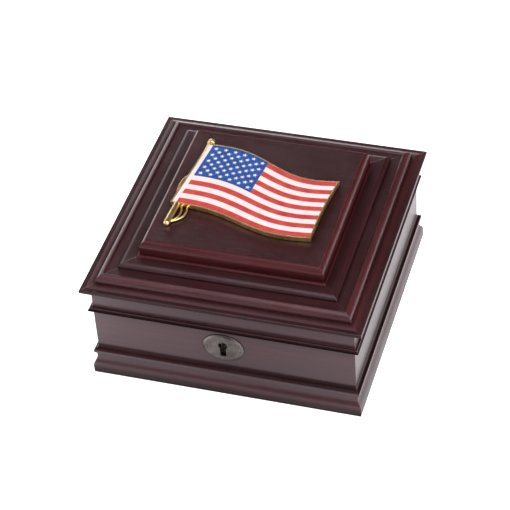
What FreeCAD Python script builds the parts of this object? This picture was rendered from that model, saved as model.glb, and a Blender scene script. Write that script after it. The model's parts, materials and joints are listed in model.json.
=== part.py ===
"""Square keepsake box: moulded hinged lid, flag medallion, box lock, stop hinges.

Frame: millimetres, +Z up, front of the box towards -Y, origin on the ground under the box's centre.
Mouldings are drawn as cross sections. "Inset" is a distance inward from the lid lip's outer face,
which is the widest part of the box.
"""
import FreeCAD, Part
import math
import os
from types import SimpleNamespace

import Sketcher

Vector = FreeCAD.Vector
doc = FreeCAD.newDocument("KeepsakeBox")

# ---------------------------------------------------------------- driving sizes

SIZES = {
    # whole box
    "half_lid": 95.0,               # half the width over the lid lip
    "wall_inset": 6.0,              # plain faces of the walls and of the lid band
    "wall_thickness": 10.0,
    "bead_inset": 3.2,              # tips of the two thin projecting beads
    "seam_gap": 0.4,                # daylight between box rim and lid
    "arris": 0.35,                  # softened edges of the mouldings
    "fine_arris": 0.2,
    "fit_gap": 0.1,                 # joiner's clearance round loose panels
    # base moulding
    "foot_height": 0.6,
    "base_inset": 2.1,
    "base_shoulder_z": 6.5,
    "ogee_inset": 3.4,
    "ogee_z": 10.2,
    "neck_inset": 4.7,
    "neck_z": 13.9,
    "ogee_radius": 6.0,
    "base_depth": 20.0,
    "base_top_z": 17.8,
    # box walls
    "skirt_bead_z": 20.2,
    "skirt_cove_z": 23.6,
    "skirt_cove_radius": 3.5,
    "rim_z": 55.4,
    "bottom_thickness": 4.0,
    "liner_thickness": 1.6,
    "liner_top_drop": 1.0,
    "floor_pad_thickness": 2.6,
    # lid rim
    "seam_bead_z": 56.9,
    "seam_fillet_inset": 4.2,
    "seam_fillet_z": 58.0,
    "seam_fillet_top_z": 58.6,
    "seam_cove_z": 60.4,
    "seam_cove_radius": 1.9,
    "lid_rim_top_z": 73.6,
    # outer lid moulding
    "lip_face_z": 75.9,
    "lip_round": 0.7,
    "lip_under": 1.2,
    "lip_flat_inset": 3.4,
    "band_inset": 8.6,
    "band_z": 77.0,
    "band_radius": 12.0,
    "quarter_foot_z": 77.3,
    "quarter_inset": 12.6,
    "quarter_z": 82.8,
    "quarter_radius": 5.6,
    "arris_width": 0.9,
    "ring_inset": 14.2,
    "ring_z": 82.2,
    "frame_depth": 34.0,
    # inner step moulding
    "step_inset": 20.9,
    "step_round": 3.3,
    "cove_foot_rise": 0.1,
    "cove_foot_inset": 30.3,
    "cove_inset": 31.7,
    "step_top_z": 86.5,
    "step_cove_radius": 1.5,
    "step_depth": 46.0,
    # raised panel
    "panel_edge_inset": 32.6,
    "panel_round_z": 91.2,
    "panel_round_inset": 35.8,
    "panel_round_top_z": 96.4,
    "panel_round_radius": 5.6,
    "panel_z": 97.0,
    # inside of the lid
    "lid_board_thickness": 4.0,
    "lid_pad_thickness": 3.4,
    # felt feet
    "foot_radius": 7.0,
    "foot_inset": 12.5,
    # keyhole and escutcheon
    "keyhole_z": 42.3,
    "keyhole_radius": 3.2,
    "keyhole_slot_width": 4.1,
    "keyhole_bottom_z": 33.4,
    "keyhole_clearance": 0.3,       # the hole in the wall is this much wider all round
    "escutcheon_z": 40.2,
    "escutcheon_half_width": 14.1,
    "escutcheon_half_height": 11.1,
    "escutcheon_edge": 0.5,
    "escutcheon_thickness": 1.4,
    "escutcheon_bevel": 1.3,
    "pin_spacing": 10.6,
    "pin_head_radius": 1.45,
    "pin_head_height": 0.55,
    "pin_shank_radius": 0.6,
    "pin_length": 3.8,
    # lock
    "lock_half_width": 17.0,
    "lock_bottom_z": 30.0,
    "lock_depth": 7.2,
    "lock_plate": 0.8,
    "lock_wall": 1.2,
    "lock_back_plate": 1.0,
    "flange_half_width": 22.5,
    "flange_thickness": 1.2,
    "flange_screw_x": 19.7,
    "drill_pin_radius": 1.2,
    "bolt_back_x": 9.0,
    "bolt_nose_x": 4.0,
    "bolt_bottom_z": 47.1,
    "bolt_height": 4.4,
    "bolt_thickness": 2.6,
    "bolt_side_gap": 1.4,
    "talon_width": 3.2,
    "talon_depth": 1.4,
    "bolt_chamfer": 0.6,
    "bolt_rail_height": 1.0,
    "bolt_rail_start_x": 11.0,
    "bolt_rail_end_x": 4.2,
    "slide_gap": 0.1,
    "spring_thickness": 0.3,
    "spring_rise": 1.5,
    "spring_start_x": 8.0,
    "spring_end_x": 2.0,
    # link plate
    "link_half_width": 16.0,
    "link_width": 7.2,
    "link_screw_x": 11.5,
    "eye_x": 5.0,
    "eye_thickness": 1.6,
    "eye_width": 4.6,
    "eye_bar": 0.8,
    "eye_bottom_z": 45.7,
    "eye_slot_gap": 0.5,
    "eye_window_gap": 0.4,          # daylight between the bolt and the window over it
    # hinges
    "hinge_x": 55.0,
    "hinge_length": 30.0,
    "hinge_setback": 3.6,           # hinge axis in from the lip's outer face
    "leaf_thickness": 1.2,
    "leaf_reach": 11.0,             # from the hinge axis to the leaf's inner edge
    "leaf_screw_reach": 6.8,        # from the hinge axis to the leaf's screws
    "knuckle_radius": 2.2,
    "pin_radius": 1.0,
    "pin_press_gap": 0.01,
    "pin_running_gap": 0.05,
    "neck_overlap": 1.0,            # knuckle necks run this far into the leaf
    "neck_wall": 0.5,               # and stop this far short of the pin
    "knuckle_gap": 0.2,
    "notch_gap": 0.3,
    "stop_tab_thickness": 0.8,
    "stop_tab_height": 3.0,
    "stop_tab_drop": 0.6,           # from the leaf's underside to the tab
    "stop_angle": 100.0,
    "heel_thickness": 1.1,
    "heel_reach": 3.0,
    "stop_gap": 0.03,
    "leaf_screw_x": 10.0,
    # wood screws
    "screw_radius": 1.1,
    "screw_head_radius": 2.1,
    "screw_length": 10.0,
    "screw_slot": 0.5,              # width and depth of the driver slot
    # medallion
    "medallion_pad": 0.4,
    "casting_thickness": 3.2,
    "enamel_recess": 0.7,
    "enamel_thickness": 0.62,
    "enamel_gap": 0.05,             # between the enamel and the casting's border
    "rim_width": 0.9,
    "hoist_top_x": -42.8,
    "hoist_top_y": 41.2,
    "hoist_foot_x": -49.1,
    "hoist_foot_y": -21.8,
    "fly_top_x": 50.5,
    "fly_top_y": 21.0,
    "fly_foot_x": 46.7,
    "fly_foot_y": -37.1,
    "fly_bow": 1.3,
    "wave_sag": -2.4,
    "wave_top": 4.6,
    "wave_foot": 3.3,
    "heading_width": 3.0,
    "canton_length": 0.455,         # share of the flag's length
    "star_radius": 1.9,
    "pole_top_x": -45.5,
    "pole_top_y": 44.0,
    "pole_foot_x": -49.7,
    "pole_foot_y": -41.6,
    "pole_radius": 2.2,
    "pole_axis_height": 1.3,
    "finial_radius": 2.9,
    "collar_radius": 2.75,
    "collar_height": 1.2,
    "collar_drop": 1.6,
    "cord_radius": 0.65,
    "cord_height": 0.8,
    "stud_radius": 1.5,
    "stud_length": 5.0,
    "stud_spacing": 56.0,
}

STRIPES = 13
CANTON_STRIPES = 7
STAR_ROWS = 9
STAR_COLUMNS = 11
CURVE_STEPS = (18, 8)                   # points on an edge along the flag, and down it
PAD_STRIP_STARTS = (0.04, 0.5, 0.86)    # shares of the flag's length
PAD_STRIP_WIDTH = 0.08
PAD_STRIP_MARGIN = 0.08                 # share of the flag's depth

OVERCUT = 1.0                           # cutters run this far past the faces they open


class Dim:
    """A size: its value in millimetres and the sheet formula that gives it."""

    def __init__(self, value, formula):
        self.value = value
        self.formula = formula

    def __add__(self, other):
        other = as_dim(other)
        return Dim(self.value + other.value, f"({self.formula} + {other.formula})")

    def __sub__(self, other):
        other = as_dim(other)
        return Dim(self.value - other.value, f"({self.formula} - {other.formula})")

    def __mul__(self, factor):
        return Dim(self.value * factor, f"({self.formula} * {factor})")

    def __neg__(self):
        return Dim(-self.value, f"(-1 * {self.formula})")


def as_dim(size):
    if isinstance(size, Dim):
        return size
    return Dim(float(size), f"({float(size)})")


def fill_sheet():
    """Write the driving sizes to a spreadsheet and return them as Dims by name."""
    sheet = doc.addObject("Spreadsheet::Sheet", "Sizes")
    for row, (name, value) in enumerate(SIZES.items(), start=1):
        sheet.set(f"A{row}", name)
        sheet.set(f"B{row}", str(value))
        sheet.setAlias(f"B{row}", name)
    doc.recompute()
    return SimpleNamespace(**{name: Dim(value, f"Sizes.{name}") for name, value in SIZES.items()})


S = fill_sheet()
NODES = []


def keep(node):
    """Remember a finished sub-part, so that it is checked and written."""
    NODES.append(node)
    return node


def bind(target, prop, size):
    target.setExpression(prop, as_dim(size).formula)


# ---------------------------------------------------------------- sketches and bodies

def new_body(label):
    body = doc.addObject("PartDesign::Body", label)
    body.Label = label
    return body


def new_sketch(body, role):
    """An empty sketch on one of the body's own origin planes."""
    plane = next(f for f in body.Origin.OriginFeatures if f.Role == role)
    sketch = body.newObject("Sketcher::SketchObject", f"{body.Name}_sketch")
    sketch.AttachmentSupport = [(plane, "")]
    sketch.MapMode = "FlatFace"
    return sketch


def arc_between(start, end, radius, turn):
    """Short circular arc; turn is 1 for counterclockwise travel and -1 for clockwise."""
    chord = end - start
    half = chord.Length / 2
    rise = math.sqrt(radius * radius - half * half)
    left = Vector(-chord.y, chord.x, 0).normalize()
    centre = (start + end) * 0.5 + left * (rise * turn)
    first, last = (start, end) if turn > 0 else (end, start)
    angles = [math.atan2(p.y - centre.y, p.x - centre.x) for p in (first, last)]
    return Part.ArcOfCircle(Part.Circle(centre, Vector(0, 0, 1), radius), angles[0], angles[1])


def draw_outline(sketch, corners):
    """Closed outline. A corner is (x, y) or, where an arc leads on from it, (x, y, radius, turn)."""
    corners = [tuple(as_dim(size) for size in corner[:3]) + corner[3:] for corner in corners]
    points = [Vector(corner[0].value, corner[1].value, 0) for corner in corners]
    ends = []
    for index, corner in enumerate(corners):
        start, end = points[index], points[(index + 1) % len(points)]
        if len(corner) == 2:
            edge = sketch.addGeometry(Part.LineSegment(start, end))
            ends.append((edge, 1, 2))
        else:
            edge = sketch.addGeometry(arc_between(start, end, corner[2].value, corner[3]))
            ends.append((edge, 1, 2) if corner[3] > 0 else (edge, 2, 1))
            fix(sketch, Sketcher.Constraint("Radius", edge, corner[2].value), corner[2])
    for index, corner in enumerate(corners):
        edge, first, last = ends[index]
        following = ends[(index + 1) % len(ends)]
        sketch.addConstraint(Sketcher.Constraint("Coincident", edge, last, following[0], following[1]))
        for kind, size in (("DistanceX", corner[0]), ("DistanceY", corner[1])):
            fix(sketch, Sketcher.Constraint(kind, -1, 1, edge, first, size.value), size)


def draw_rectangle(sketch, low_x, low_y, high_x, high_y):
    draw_outline(sketch, [(low_x, low_y), (high_x, low_y), (high_x, high_y), (low_x, high_y)])


def fix(sketch, constraint, size):
    """Add a dimensional constraint and bind it to the sheet."""
    index = sketch.addConstraint(constraint)
    sketch.setExpression(f"Constraints[{index}]", size.formula)


def pad(body, sketch, length, side_type="One side", reverse=False):
    feature = body.newObject("PartDesign::Pad", f"{body.Name}_pad")
    feature.Profile = sketch
    feature.SideType = side_type
    feature.Reversed = reverse
    bind(feature, "Length", length)
    sketch.Visibility = False
    doc.recompute()
    return feature


def pocket_through(body, sketch):
    """Cut the sketch through the whole body, both ways; fails if nothing is removed."""
    before = body.Shape.Volume
    feature = body.newObject("PartDesign::Pocket", f"{body.Name}_pocket")
    feature.Profile = sketch
    feature.Type = "ThroughAll"
    feature.SideType = "Symmetric"
    sketch.Visibility = False
    doc.recompute()
    if not body.Shape.Volume < before:
        raise RuntimeError(f"{body.Label}: pocket cut nothing")
    return feature


def soften(body, base, corners, radius):
    """Round the long edges of a run of moulding that stand at the given section corners."""
    names = []
    for number, edge in enumerate(base.Shape.Edges, start=1):
        ends = [vertex.Point for vertex in edge.Vertexes]
        if len(ends) != 2 or abs(ends[0].x - ends[1].x) < 1:
            continue
        for across, up in corners:
            if abs(ends[0].y - across.value) < 0.01 and abs(ends[0].z - up.value) < 0.01:
                names.append(f"Edge{number}")
    fillet = body.newObject("PartDesign::Fillet", f"{body.Name}_fillet")
    fillet.Base = (base, names)
    bind(fillet, "Radius", radius)
    doc.recompute()
    return fillet


# ---------------------------------------------------------------- primitives and booleans

def turn_about_z(angle):
    return FreeCAD.Placement(Vector(0, 0, 0), FreeCAD.Rotation(Vector(0, 0, 1), angle))


def box(name, low, high):
    """Part::Box between two corners given as three sizes each."""
    item = doc.addObject("Part::Box", name)
    for prop, start, end in zip(("Length", "Width", "Height"), low, high):
        bind(item, prop, as_dim(end) - start)
    for prop, start in zip("xyz", low):
        bind(item, f"Placement.Base.{prop}", start)
    return item


def cylinder(name, centre, radius, length, direction):
    """Part::Cylinder from a point along a direction."""
    item = doc.addObject("Part::Cylinder", name)
    rotation = FreeCAD.Rotation(Vector(0, 0, 1), Vector(*direction))
    item.Placement = FreeCAD.Placement(Vector(0, 0, 0), rotation)
    bind(item, "Radius", radius)
    bind(item, "Height", length)
    for prop, start in zip("xyz", centre):
        bind(item, f"Placement.Base.{prop}", start)
    return item


def cone(name, centre, start_radius, end_radius, length, direction):
    item = doc.addObject("Part::Cone", name)
    rotation = FreeCAD.Rotation(Vector(0, 0, 1), Vector(*direction))
    item.Placement = FreeCAD.Placement(Vector(0, 0, 0), rotation)
    bind(item, "Radius1", start_radius)
    bind(item, "Radius2", end_radius)
    bind(item, "Height", length)
    for prop, start in zip("xyz", centre):
        bind(item, f"Placement.Base.{prop}", start)
    return item


def cut(label, base, tools):
    """Base minus all the tools."""
    item = doc.addObject("Part::Cut", label)
    item.Label = label
    item.Base = base
    item.Tool = tools[0] if len(tools) == 1 else fuse(f"{label}_tools", tools)
    doc.recompute()
    return item


def fuse(label, shapes):
    item = doc.addObject("Part::MultiFuse", label)
    item.Label = label
    item.Shapes = shapes
    item.Refine = True
    doc.recompute()
    return item


def group(label, shapes):
    """Separate solids kept together as one sub-part."""
    item = doc.addObject("Part::Compound", label)
    item.Label = label
    item.Links = shapes
    doc.recompute()
    return item


# ---------------------------------------------------------------- mouldings

SIDES = {"front": 0, "right": 90, "back": 180, "left": 270}


def out(inset):
    """Section coordinate, on the front side, of a point that lies an inset in from the lid lip."""
    return as_dim(inset) - S.half_lid


def mitred_rail(label, section, sharp_corners, angle, radius):
    """One side's run of moulding, mitred at both ends and turned to its side of the box."""
    body = new_body(label)
    section_sketch = new_sketch(body, "YZ_Plane")
    draw_outline(section_sketch, section)
    run = pad(body, section_sketch, S.half_lid * 2, side_type="Symmetric")
    if sharp_corners:
        soften(body, run, sharp_corners, radius)
    mitre = new_sketch(body, "XY_Plane")
    # the waste triangles reach from well inside the moulding to beyond its outer face
    inner = S.half_lid * 0.4
    outer = S.half_lid * 1.1
    for side in (1, -1):
        draw_outline(mitre, [(inner * side, -inner), (outer * side, -outer), (outer * side, -inner)])
    pocket_through(body, mitre)
    body.Placement = turn_about_z(angle)
    return body


def base_section():
    face, neck = out(S.base_inset), out(S.neck_inset)
    inner = out(S.base_inset + S.base_depth)
    return [
        (face, S.foot_height),
        (inner, S.foot_height),
        (inner, S.base_top_z),
        (neck, S.base_top_z),
        (neck, S.neck_z, S.ogee_radius, -1),
        (out(S.ogee_inset), S.ogee_z, S.ogee_radius, 1),
        (face, S.base_shoulder_z),
    ]


def wall_section():
    bead, face = out(S.bead_inset), out(S.wall_inset)
    inner = out(S.wall_inset + S.wall_thickness)
    return [
        (bead, S.base_top_z),
        (inner, S.base_top_z),
        (inner, S.rim_z),
        (face, S.rim_z),
        (face, S.skirt_cove_z, S.skirt_cove_radius, -1),
        (bead, S.skirt_bead_z),
    ]


def lid_bottom():
    return S.rim_z + S.seam_gap


def lid_rim_section():
    bead, fillet, face = out(S.bead_inset), out(S.seam_fillet_inset), out(S.wall_inset)
    inner = out(S.wall_inset + S.wall_thickness)
    return [
        (bead, lid_bottom()),
        (inner, lid_bottom()),
        (inner, S.lid_rim_top_z),
        (face, S.lid_rim_top_z),
        (face, S.seam_cove_z, S.seam_cove_radius, -1),
        (fillet, S.seam_fillet_top_z),
        (fillet, S.seam_fillet_z),
        (bead, S.seam_bead_z),
    ]


def lid_frame_section():
    inner = out(S.frame_depth)
    lip = out(0)
    return [
        (out(S.lip_under), S.lid_rim_top_z),
        (inner, S.lid_rim_top_z),
        (inner, S.ring_z),
        (out(S.ring_inset), S.ring_z),
        (out(S.quarter_inset + S.arris_width), S.quarter_z),
        (out(S.quarter_inset), S.quarter_z, S.quarter_radius, 1),
        (out(S.band_inset), S.quarter_foot_z),
        (out(S.band_inset), S.band_z, S.band_radius, 1),
        (out(S.lip_flat_inset), S.lip_face_z + S.lip_round),
        (out(S.lip_round), S.lip_face_z + S.lip_round, S.lip_round, 1),
        (lip, S.lip_face_z),
        (lip, S.lid_rim_top_z + S.lip_under, S.lip_under, 1),
    ]


def step_section():
    inner = out(S.step_depth)
    flat_z = S.ring_z + S.step_round
    return [
        (out(S.step_inset), S.ring_z),
        (inner, S.ring_z),
        (inner, S.step_top_z),
        (out(S.cove_inset), S.step_top_z, S.step_cove_radius, -1),
        (out(S.cove_foot_inset), flat_z + S.cove_foot_rise),
        (out(S.step_inset + S.step_round), flat_z, S.step_round, 1),
    ]


def build_mouldings():
    """Every run of moulding by name; the walls and lid rims are still to be cut for the hardware."""
    rails = {}
    families = {
        "base_rail": (base_section(), [(out(S.base_inset), S.foot_height)], S.arris),
        "wall": (wall_section(), [
            (out(S.bead_inset), S.base_top_z),
            (out(S.bead_inset), S.skirt_bead_z),
            (out(S.wall_inset), S.rim_z),
            (out(S.wall_inset + S.wall_thickness), S.rim_z)], S.arris),
        "lid_rim": (lid_rim_section(), [
            (out(S.bead_inset), lid_bottom()),
            (out(S.bead_inset), S.seam_bead_z),
            (out(S.seam_fillet_inset), S.seam_fillet_top_z)], S.fine_arris),
        "lid_frame": (lid_frame_section(), [
            (out(S.quarter_inset), S.quarter_z),
            (out(S.quarter_inset + S.arris_width), S.quarter_z)], S.arris),
        "lid_step": (step_section(), [(out(S.cove_inset), S.step_top_z)], S.arris),
    }
    for family, (section, corners, radius) in families.items():
        for side, angle in SIDES.items():
            rails[f"{family}_{side}"] = mitred_rail(f"{family}_{side}", section, corners, angle, radius)
    return rails


# ---------------------------------------------------------------- panels, pads and feet

def square_board(label, half, low_z, thickness):
    """Flat square board made as a padded sketch."""
    body = new_body(label)
    sketch = new_sketch(body, "XY_Plane")
    draw_rectangle(sketch, -half, -half, half, half)
    pad(body, sketch, thickness)
    bind(body, "Placement.Base.z", low_z)
    doc.recompute()
    return body


def panel_outline(side):
    """Section of the waste outside the panel's rounded edge; side is 1 or -1."""
    edge = (S.half_lid - S.panel_edge_inset) * side
    shoulder = (S.half_lid - S.panel_round_inset) * side
    beyond = S.half_lid * side
    return [
        (edge, S.step_top_z),
        (beyond, S.step_top_z),
        (beyond, S.panel_z + OVERCUT),
        (shoulder, S.panel_z + OVERCUT),
        (shoulder, S.panel_round_top_z, S.panel_round_radius, -side),
        (edge, S.panel_round_z),
    ]


def build_panel():
    """Raised centre panel with its rounded edge worked on all four sides, and the stud holes."""
    body = new_body("panel_blank")
    sketch = new_sketch(body, "XY_Plane")
    draw_rectangle(sketch, -S.half_lid, -S.half_lid, S.half_lid, S.half_lid)
    pad(body, sketch, S.panel_z - S.step_top_z)
    bind(sketch, "AttachmentOffset.Base.z", S.step_top_z)
    doc.recompute()
    for role in ("YZ_Plane", "XZ_Plane"):
        edge_sketch = new_sketch(body, role)
        for side in (1, -1):
            draw_outline(edge_sketch, panel_outline(side))
        pocket_through(body, edge_sketch)
    holes = []
    for side in (1, -1):
        centre = (S.stud_spacing * (0.5 * side), 0, S.panel_z - S.stud_length)
        holes.append(cylinder("stud_hole", centre, S.stud_radius, S.stud_length + OVERCUT, (0, 0, 1)))
    keep(cut("lid_panel", body, holes))


def build_boards_and_pads():
    cavity = S.half_lid - S.wall_inset - S.wall_thickness
    floor_z = S.base_top_z + S.bottom_thickness
    keep(square_board("bottom_panel", cavity - S.fit_gap, S.base_top_z, S.bottom_thickness))
    board_z = S.lid_rim_top_z - S.lid_board_thickness
    keep(square_board("lid_board", cavity - S.fit_gap, board_z, S.lid_board_thickness))
    keep(square_board("lid_pad", cavity - 1, board_z - S.lid_pad_thickness, S.lid_pad_thickness))
    inside = cavity - S.fit_gap - S.liner_thickness
    keep(square_board("floor_pad", inside - S.fit_gap, floor_z, S.floor_pad_thickness))
    liner_low = floor_z + S.fit_gap
    liner_top = S.rim_z - S.liner_top_drop
    for side, angle in SIDES.items():
        along = cavity - S.fit_gap if side in ("front", "back") else inside - S.fit_gap
        liner = new_body(f"wall_liner_{side}")
        sketch = new_sketch(liner, "XY_Plane")
        draw_rectangle(sketch, -along, S.fit_gap - cavity, along, -inside)
        bind(sketch, "AttachmentOffset.Base.z", liner_low)
        pad(liner, sketch, liner_top - liner_low)
        liner.Placement = turn_about_z(angle)
        keep(liner)


def build_feet():
    feet = []
    reach = S.half_lid - S.foot_inset
    for side_x in (-1, 1):
        for side_y in (-1, 1):
            centre = (reach * side_x, reach * side_y, 0)
            feet.append(cylinder("felt_foot", centre, S.foot_radius, S.foot_height, (0, 0, 1)))
    keep(group("felt_feet", feet))


# ---------------------------------------------------------------- keyhole and lock

def keyhole_tools(name, near_y, depth, extra):
    """Cutters for a keyhole: round hole over a slot, both widened by an allowance."""
    half = as_dim(extra) + S.keyhole_slot_width * 0.5
    radius = S.keyhole_radius + extra
    hole = cylinder(f"{name}_round", (0, near_y, S.keyhole_z), radius, depth, (0, 1, 0))
    slot = box(f"{name}_slot", (-half, near_y, S.keyhole_bottom_z - extra),
               (half, near_y + depth, S.keyhole_z))
    return [hole, slot]


def build_escutcheon():
    """Oval plate with a bevelled rim, a keyhole and two domed pins."""
    body = new_body("escutcheon_blank")
    sketch = new_sketch(body, "XZ_Plane")
    centre = Vector(0, S.escutcheon_z.value, 0)
    long_end = Vector(S.escutcheon_half_width.value, S.escutcheon_z.value, 0)
    short_end = Vector(0, S.escutcheon_z.value + S.escutcheon_half_height.value, 0)
    oval = sketch.addGeometry(Part.Ellipse(long_end, short_end, centre))
    sketch.exposeInternalGeometry(oval)
    fix(sketch, Sketcher.Constraint("DistanceY", -1, 1, oval, 3, S.escutcheon_z.value), S.escutcheon_z)
    sketch.addConstraint(Sketcher.Constraint("PointOnObject", oval, 3, -2))
    plate = pad(body, sketch, S.escutcheon_thickness)
    rim = [f"Edge{number}" for number, edge in enumerate(plate.Shape.Edges, start=1)
           if abs(edge.BoundBox.YMin + S.escutcheon_thickness.value) < 0.01 and edge.BoundBox.YLength < 0.01]
    bevel = body.newObject("PartDesign::Chamfer", "escutcheon_rim")
    bevel.Base = (plate, rim)
    bevel.ChamferType = "Two distances"
    bind(bevel, "Size", S.escutcheon_thickness - S.escutcheon_edge)
    bind(bevel, "Size2", S.escutcheon_bevel)
    bind(body, "Placement.Base.y", out(S.wall_inset))
    doc.recompute()
    near = out(S.wall_inset) - S.escutcheon_thickness
    depth = S.escutcheon_thickness + 2 * OVERCUT
    tools = keyhole_tools("escutcheon_keyhole", near - OVERCUT, depth, 0)
    for side in (-1, 1):
        centre = (S.pin_spacing * side, near - OVERCUT, S.escutcheon_z)
        tools.append(cylinder("pin_hole", centre, S.pin_shank_radius, depth, (0, 1, 0)))
    keep(cut("escutcheon", body, tools))
    pins = [round_head_pin(S.pin_spacing * side, near) for side in (-1, 1)]
    keep(group("escutcheon_pins", pins))


def round_head_pin(x, face_y):
    """Small nail with a domed head, driven in along +Y; made by turning its half section."""
    body = new_body("escutcheon_pin")
    sketch = new_sketch(body, "XY_Plane")
    head, height, shank = S.pin_head_radius, S.pin_head_height, S.pin_shank_radius
    dome = math.hypot(head.value, height.value) ** 2 / (2 * height.value)
    draw_outline(sketch, [
        (0, -height, dome, -1), (-head, 0), (-shank, 0), (-shank, S.pin_length), (0, S.pin_length)])
    turned = body.newObject("PartDesign::Revolution", "pin_turned")
    turned.Profile = sketch
    turned.ReferenceAxis = (sketch, ["V_Axis"])
    turned.Angle = 360
    for prop, size in zip("xyz", (x, face_y, S.escutcheon_z)):
        bind(body, f"Placement.Base.{prop}", size)
    doc.recompute()
    return body


def lock_box():
    """Outside of the lock case: sides in X, front and back in Y, bottom and top in Z."""
    back = out(S.wall_inset + S.wall_thickness)
    return SimpleNamespace(half=S.lock_half_width, front=back - S.lock_depth, back=back,
                           low=S.lock_bottom_z, top=S.rim_z - S.flange_thickness)


def bolt_span():
    """The bolt's faces: Y front and back, Z bottom and top."""
    inside = lock_box().front + S.lock_plate
    near = inside + S.bolt_side_gap
    return SimpleNamespace(near=near, far=near + S.bolt_thickness,
                           low=S.bolt_bottom_z, top=S.bolt_bottom_z + S.bolt_height)


def eye_span():
    """The link eye's faces: X, Y and its lowest point, centred on the bolt in Y."""
    bolt = bolt_span()
    middle = bolt.near + S.bolt_thickness * 0.5
    return SimpleNamespace(left=S.eye_x, right=S.eye_x + S.eye_thickness,
                           near=middle - S.eye_width * 0.5, far=middle + S.eye_width * 0.5)


def build_lock():
    lock, bolt, eye = lock_box(), bolt_span(), eye_span()
    wall = S.lock_wall
    shell = box("lock_shell", (-lock.half, lock.front, lock.low), (lock.half, lock.back, lock.top))
    hollow = box("lock_hollow", (wall - lock.half, lock.front + S.lock_plate, lock.low + wall),
                 (lock.half - wall, lock.back + OVERCUT, lock.top + OVERCUT))
    flange = box("lock_flange", (-S.flange_half_width, lock.front, lock.top),
                 (S.flange_half_width, lock.back, S.rim_z))
    rail_top = bolt.low - S.slide_gap
    rail = box("bolt_rail", (-S.bolt_rail_start_x, lock.front + S.lock_plate, rail_top - S.bolt_rail_height),
               (-S.bolt_rail_end_x, bolt.far, rail_top))
    case = fuse("lock_body", [cut("lock_open_shell", shell, [hollow]), flange, rail])
    tools = keyhole_tools("lock_keyhole", lock.front - OVERCUT, S.lock_plate + 2 * OVERCUT, S.fit_gap)
    gap = S.eye_slot_gap
    tools.append(box("eye_slot", (eye.left - gap, eye.near - gap, lock.top - OVERCUT),
                     (eye.right + gap, eye.far + gap, S.rim_z + OVERCUT)))
    for side in (-1, 1):
        x = S.flange_screw_x * side
        tools += screw_cutters("flange_hole", (x, screw_row_y(), S.rim_z), -1)
    keep(cut("lock_case", case, tools))
    half = lock.half - wall - S.fit_gap
    keep_box("lock_back_plate", (-half, lock.back - S.lock_back_plate, lock.low + wall + S.fit_gap),
             (half, lock.back, lock.top - S.fit_gap))
    pin_length = S.lock_depth - S.lock_plate - S.lock_back_plate
    keep_node(cylinder("lock_drill_pin", (0, lock.front + S.lock_plate, S.keyhole_z), S.drill_pin_radius,
                       pin_length, (0, 1, 0)), "lock_drill_pin")
    build_bolt(bolt)
    build_bolt_spring(bolt)
    screws = [wood_screw((S.flange_screw_x * side, screw_row_y(), S.rim_z), -1) for side in (-1, 1)]
    keep(group("lock_screws", screws))


def screw_row_y():
    """The lock flange's and link plate's screws stand on the middle of the flange."""
    lock = lock_box()
    return (lock.front + lock.back) * 0.5


def build_bolt(bolt):
    """Sliding bolt with a talon notch that the key's bit catches; its nose is chamfered."""
    body = new_body("lock_bolt")
    sketch = new_sketch(body, "XZ_Plane")
    talon, nose, chamfer = S.talon_width, S.bolt_nose_x, S.bolt_chamfer
    draw_outline(sketch, [
        (-S.bolt_back_x, bolt.low), (-talon, bolt.low), (-talon, bolt.low + S.talon_depth),
        (0, bolt.low + S.talon_depth), (0, bolt.low), (nose - chamfer, bolt.low),
        (nose, bolt.low + chamfer), (nose, bolt.top - chamfer), (nose - chamfer, bolt.top),
        (-S.bolt_back_x, bolt.top)])
    pad(body, sketch, S.bolt_thickness, reverse=True)
    bind(body, "Placement.Base.y", bolt.near)
    doc.recompute()
    keep(body)


def build_bolt_spring(bolt):
    """Bowed flat spring over the bolt; its ends stand just clear of the bolt's top."""
    body = new_body("lock_spring")
    sketch = new_sketch(body, "XZ_Plane")
    left, right = -S.spring_start_x, S.spring_end_x
    low = bolt.top + S.slide_gap
    span = right.value - left.value
    radius = (span * span / 4 + S.spring_rise.value ** 2) / (2 * S.spring_rise.value)
    draw_outline(sketch, [
        (right, low, radius, 1), (left, low), (left, low + S.spring_thickness, radius, -1),
        (right, low + S.spring_thickness)])
    pad(body, sketch, S.bolt_thickness, reverse=True)
    bind(body, "Placement.Base.y", bolt.near)
    doc.recompute()
    keep(body)


def build_link_plate():
    """Plate under the lid with a hanging eye that the bolt passes through."""
    eye, bolt = eye_span(), bolt_span()
    near = screw_row_y() - S.link_width * 0.5
    plate = box("link_flat", (-S.link_half_width, near, lid_bottom()),
                (S.link_half_width, near + S.link_width, lid_bottom() + S.flange_thickness))
    hanger = box("link_hanger", (eye.left, eye.near, S.eye_bottom_z),
                 (eye.right, eye.far, lid_bottom() + S.flange_thickness))
    window_low = S.eye_bottom_z + S.lock_wall
    window = box("link_window", (eye.left - OVERCUT, eye.near + S.eye_bar, window_low),
                 (eye.right + OVERCUT, eye.far - S.eye_bar, bolt.top + S.eye_window_gap))
    tools = [window]
    for side in (-1, 1):
        tools += screw_cutters("link_hole", (S.link_screw_x * side, screw_row_y(), lid_bottom()), 1)
    keep(cut("link_plate", fuse("link_solid", [plate, hanger]), tools))
    screws = [wood_screw((S.link_screw_x * side, screw_row_y(), lid_bottom()), 1) for side in (-1, 1)]
    keep(group("link_screws", screws))
    return near


# ---------------------------------------------------------------- screws

def screw_cutters(name, top, way):
    """Countersink and pilot hole for a wood screw whose head is at top; way is its Z direction."""
    direction = (0, 0, way)
    depth = S.screw_head_radius - S.screw_radius
    return [
        cone(f"{name}_sink", top, S.screw_head_radius, S.screw_radius, depth, direction),
        cylinder(f"{name}_pilot", top, S.screw_radius, S.screw_length, direction),
    ]


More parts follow.
